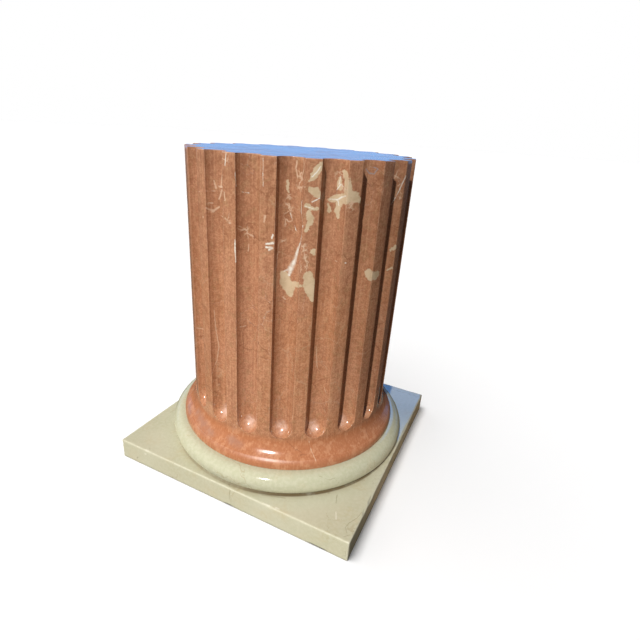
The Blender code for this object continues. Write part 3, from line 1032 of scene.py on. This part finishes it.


def paint_cream_marble(material, pieces):
    tree = material.node_tree
    spot = object_point(tree)
    x, y, height = parts(tree, spot)
    broad = pattern(tree, CLOUDS, scale=6.0, detail=4.0, start=0.35, end=0.68, drift=0.4,
                    seed=(6, 2, 3))
    green = pattern(tree, CLOUDS, scale=11.0, detail=6.0, start=0.42, end=0.72, drift=0.8,
                    seed=(2, 9, 7))
    warm = pattern(tree, CLOUDS, scale=17.0, detail=6.0, start=0.5, end=0.75, seed=(8, 5, 1))
    fine = pattern(tree, CLOUDS, scale=140.0, detail=4.0, start=0.38, end=0.66, seed=(3, 3, 8))
    on_torus = ramp(tree, height, plinth_high.z, plinth_high.z + 0.002, 0.0, 0.85)
    veins = pattern(tree, VEINS, scale=7.0, width=0.012, wander=0.08, wander_scale=9.0, broken=0.5,
                    patch_scale=5.0, seed=(4, 1, 6))
    hairs = pattern(tree, VEINS, scale=18.0, width=0.010, wander=0.05, wander_scale=16.0, broken=0.53,
                    patch_scale=8.0, seed=(7, 7, 2))
    colour = layers(tree, CREAM, (broad, CREAM_LIGHT, 0.6), (green, CREAM_GREEN, 0.5),
                    (on_torus, CREAM_GREEN), (warm, CREAM_WARM, 0.5), (fine, CREAM_LIGHT, 0.4),
                    (veins, BROWN_VEIN, 0.4), (hairs, BROWN_VEIN, 0.35))

    # Cracks and chips that were traced in the photograph
    place = shifted(tree, spot, *CREAM_SHIFT)
    cracks = marks(tree, place, [photo_chain(chain, pieces) for chain in CREAM_CRACKS], 0.8)
    chips = marks(tree, place, [photo_chain(chain, pieces) for chain in CREAM_CHIPS], 0.6)
    colour = layers(tree, colour, (cracks, CRACK, 0.4), (chips, CREAM_WHITE, 0.8))

    # Painted shade darkens the crease where the torus meets the plinth, in patches, with a fainter painted
    # brown shade on the plinth round it
    from_axis = length(tree, x, y)
    off_level = calc(tree, "ABSOLUTE", calc(tree, "SUBTRACT", height, plinth_high.z))
    by_joint = times(tree, ramp(tree, from_axis, *JOINT_SHADE_REACH, 1, 0),
                     ramp(tree, off_level, *JOINT_SHADE_RISE, 1, 0), ramp(tree, x, *JOINT_SHADE_SIDE, 0.3, 1.0))
    patchy = pattern(tree, CLOUDS, scale=30.0, detail=4.0, start=0.3, end=0.6, seed=(5, 5, 5))
    joint_shade = times(tree, by_joint, calc(tree, "ADD", times(tree, patchy, 0.4), 0.55))
    shade_round_joint = times(tree, ramp(tree, from_axis, *SHADE_ROUND_REACH, 1, 0),
                 ramp(tree, off_level, *SHADE_ROUND_RISE, 1, 0), patchy)

    # Edges painted lighter, partly as scuffed wear and partly as a painted highlight where the arris
    # catches light
    edge = add(tree, "ShaderNodeAttribute", attribute_name="edge_wear_and_glint").outputs["Fac"]
    scuffs = pattern(tree, CLOUDS, scale=50.0, detail=5.0, start=0.4, end=0.65, seed=(9, 9, 1))
    wear_and_glint = times(tree, edge, calc(tree, "ADD", times(tree, scuffs, 0.5), 0.3))
    colour = layers(tree, colour, (joint_shade, JOINT_SHADE), (shade_round_joint, BROWN_VEIN, 0.35), (wear_and_glint, CREAM_LIGHT))
    polished(material, colour, gloss=0.08, dullness=0.14, pits=0.4, depth=0.0003, edge=wear_and_glint,
             seed=(2, 2, 2))


red_marble = new_material("red_marble", RED)
cream_marble = new_material("cream_marble", CREAM)

shaft = column_shaft(red_marble)
torus = ring_skin("torus_moulding", torus_rings(), cream_marble)
plinth = ring_skin("plinth_slab", plinth_rings(), cream_marble)
bpy.context.view_layer.update()

paint_red_marble(red_marble, shaft)
paint_cream_marble(cream_marble, (torus, plinth))

for piece, node, slot in ((shaft, "fluted_shaft", "red_marble"), (torus, "torus", "cream_marble"),
                          (plinth, "plinth", "cream_marble")):
    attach(piece, "root")
    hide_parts(node)


# Floor, light and sky

FLOOR_SIZE = 60.0
KEY_AZIMUTH, KEY_ELEVATION = radians(-83), radians(42)
KEY_STRENGTH, KEY_ANGLE = 3.85, radians(1.4)
# A panel shades the column's right side and the plinth's far corner from the key light
PANEL_SIZE, PANEL_DISTANCE, PANEL_CLEAR = 2.5, 5.0, (0.50, 0.50, 0.50)
PANEL_RIGHT, PANEL_UP = 0.20, 0.08
SOFT_ELEVATION, SOFT_STRENGTH, SOFT_ANGLE = radians(55), 1.0, radians(55)
CLOSE_AZIMUTH, CLOSE_ELEVATION = radians(-135), radians(70)
CLOSE_STRENGTH, CLOSE_ANGLE = 2.1, radians(28)
# The world as it lights the stone: a fill from one side, which is less from above
FILL_FROM = (-0.95, -0.3, 0.05)
FILL_LOW, FILL_HIGH, FILL_ABOVE = 0.15, 0.8, 0.42
FILL_BRIGHT, FILL_DIM = (2.0, 1.96, 1.9), (0.02, 0.02, 0.025)
# The world as the polish mirrors it: a blue sky on its open side, with one deeper patch
SKY_LOW, SKY_HIGH, SKY_FADE = (0.24, 0.56, 1.08), (0.24, 0.23, 0.22), 0.6
BLUE_FROM, BLUE_REACH = (-0.13, 0.84, 0.50), 0.11
SKY_BLUE = (0.2, 1.3, 3.6)
SKY_OPEN, OPEN_START, OPEN_END = (-0.46, 0.89, 0.0), 0.35, 0.8
SKY_DIM = (0.20, 0.21, 0.23)
# The floor as the camera sees it, as it lights the stone, and as the polish mirrors it near and far
FLOOR_SEEN, FLOOR_BOUNCE = (0.93, 0.93, 0.93), (0.17, 0.15, 0.125)
FLOOR_WARM, WARM_REACH = (1.0, 0.72, 0.50), 0.20
FLOOR_MIRRORED, FAR_MIRRORED = (0.05, 0.05, 0.05), (0.12, 0.14, 0.17)
MIRROR_NEAR, MIRROR_FAR = 2.0, 14.0


def towards(azimuth, elevation):
    return Vector((cos(elevation) * cos(azimuth), cos(elevation) * sin(azimuth), sin(elevation)))


def sun(name, azimuth, elevation, strength, angle, lit, shading):
    """A sun lamp that lights some objects only, and is shaded by some objects only."""
    data = bpy.data.lights.new(name, "SUN")
    data.energy = strength
    data.angle = angle
    lamp = bpy.data.objects.new(name, data)
    lamp.rotation_euler = towards(azimuth, elevation).to_track_quat("Z", "Y").to_euler()
    bpy.context.scene.collection.objects.link(lamp)
    receivers = bpy.data.collections.new(name + "_receivers")
    for obj in lit:
        receivers.objects.link(obj)
    lamp.light_linking.receiver_collection = receivers
    blockers = bpy.data.collections.new(name + "_blockers")
    for obj in shading:
        blockers.objects.link(obj)
    lamp.light_linking.blocker_collection = blockers


def shading_panel():
    """The panel, with its near corner on the line to the key light; only the light sees it."""
    back = towards(KEY_AZIMUTH, KEY_ELEVATION)
    right = Vector((-sin(KEY_AZIMUTH), cos(KEY_AZIMUTH), 0))
    up = back.cross(right)
    corner = back * PANEL_DISTANCE + right * PANEL_RIGHT + up * PANEL_UP
    across, along = right * PANEL_SIZE, up * PANEL_SIZE
    mesh = bpy.data.meshes.new("shading_panel")
    mesh.from_pydata([corner, corner + across, corner + across + along, corner + along], [],
                     [(0, 1, 2, 3)])
    panel = bpy.data.objects.new("shading_panel", mesh)
    bpy.context.scene.collection.objects.link(panel)
    material = new_material("panel_gauze", PANEL_CLEAR)
    tree = material.node_tree
    tree.nodes.clear()
    gauze = add(tree, "ShaderNodeBsdfTransparent", {0: (*PANEL_CLEAR, 1)})
    output = add(tree, "ShaderNodeOutputMaterial")
    tree.links.new(gauze.outputs[0], output.inputs[0])
    mesh.materials.append(material)
    panel.visible_camera = panel.visible_diffuse = panel.visible_glossy = False
    return panel


def studio():
    bpy.ops.mesh.primitive_plane_add(size=FLOOR_SIZE)
    floor = bpy.context.object
    floor.name = "floor"
    material = new_material("floor_paper", FLOOR_SEEN)
    tree, shader = material.node_tree, material.node_tree.nodes["Principled BSDF"]
    path = add(tree, "ShaderNodeLightPath")
    x, y, _ = parts(tree, object_point(tree))
    edge = plinth_high.x
    beside = times(tree, ramp(tree, x, edge - 0.05, edge),
                   ramp(tree, x, edge + WARM_REACH / 2, edge + WARM_REACH, 1, 0),
                   ramp(tree, y, -edge, -edge + 0.2))
    bounced = tint(tree, beside, FLOOR_BOUNCE, FLOOR_WARM)
    far_off = ramp(tree, vector_calc(tree, "LENGTH", object_point(tree)), MIRROR_NEAR, MIRROR_FAR)
    mirrored = tint(tree, far_off, FLOOR_MIRRORED, FAR_MIRRORED)
    unseen = tint(tree, path.outputs["Is Glossy Ray"], bounced, mirrored)
    feed(tree, shader.inputs["Base Color"], tint(tree, path.outputs["Is Camera Ray"], unseen, FLOOR_SEEN))
    shader.inputs["Roughness"].default_value = 1.0
    shader.inputs["Specular IOR Level"].default_value = 0.0
    floor.data.materials.append(material)
    pieces = (shaft, torus, plinth)
    panel = shading_panel()
    sun("key_light", KEY_AZIMUTH, KEY_ELEVATION, KEY_STRENGTH, KEY_ANGLE, pieces, (*pieces, panel))
    sun("soft_floor_light", KEY_AZIMUTH, SOFT_ELEVATION, SOFT_STRENGTH, SOFT_ANGLE, (floor,), pieces)
    sun("close_floor_light", CLOSE_AZIMUTH, CLOSE_ELEVATION, CLOSE_STRENGTH, CLOSE_ANGLE,
        (floor,), (plinth,))


def sky():
    """White to the camera, a fill for the stone, and a blue sky in its polish."""
    world = bpy.data.worlds.new("sky")
    bpy.context.scene.world = world
    world.use_nodes = True
    tree = world.node_tree
    tree.nodes.clear()
    path = add(tree, "ShaderNodeLightPath")
    direction = add(tree, "ShaderNodeTexCoord").outputs["Generated"]
    _, _, up = parts(tree, direction)
    blue = tint(tree, ramp(tree, up, 0.0, SKY_FADE), SKY_LOW, SKY_HIGH)
    from_patch = vector_calc(tree, "LENGTH", vector_calc(tree, "SUBTRACT", direction, BLUE_FROM))
    blue = tint(tree, ramp(tree, from_patch, BLUE_REACH, 2 * BLUE_REACH, 1, 0), blue, SKY_BLUE)
    towards_open = vector_calc(tree, "DOT_PRODUCT", direction, SKY_OPEN)
    blue = tint(tree, ramp(tree, towards_open, OPEN_START, OPEN_END), SKY_DIM, blue)
    towards_fill = vector_calc(tree, "DOT_PRODUCT", direction, FILL_FROM)
    low = ramp(tree, up, FILL_LOW, FILL_HIGH, 1.0, FILL_ABOVE)
    fill = tint(tree, times(tree, ramp(tree, towards_fill, 0.1, 1.0), low), FILL_DIM, FILL_BRIGHT)
    seen = tint(tree, path.outputs["Is Glossy Ray"], fill, blue)
    seen = tint(tree, path.outputs["Is Camera Ray"], seen, (1.0, 1.0, 1.0))
    background = add(tree, "ShaderNodeBackground", {"Color": seen, "Strength": 1.0})
    output = add(tree, "ShaderNodeOutputWorld")
    tree.links.new(background.outputs[0], output.inputs[0])


studio()
sky()
camera()
bpy.context.scene.view_settings.view_transform = "Standard"
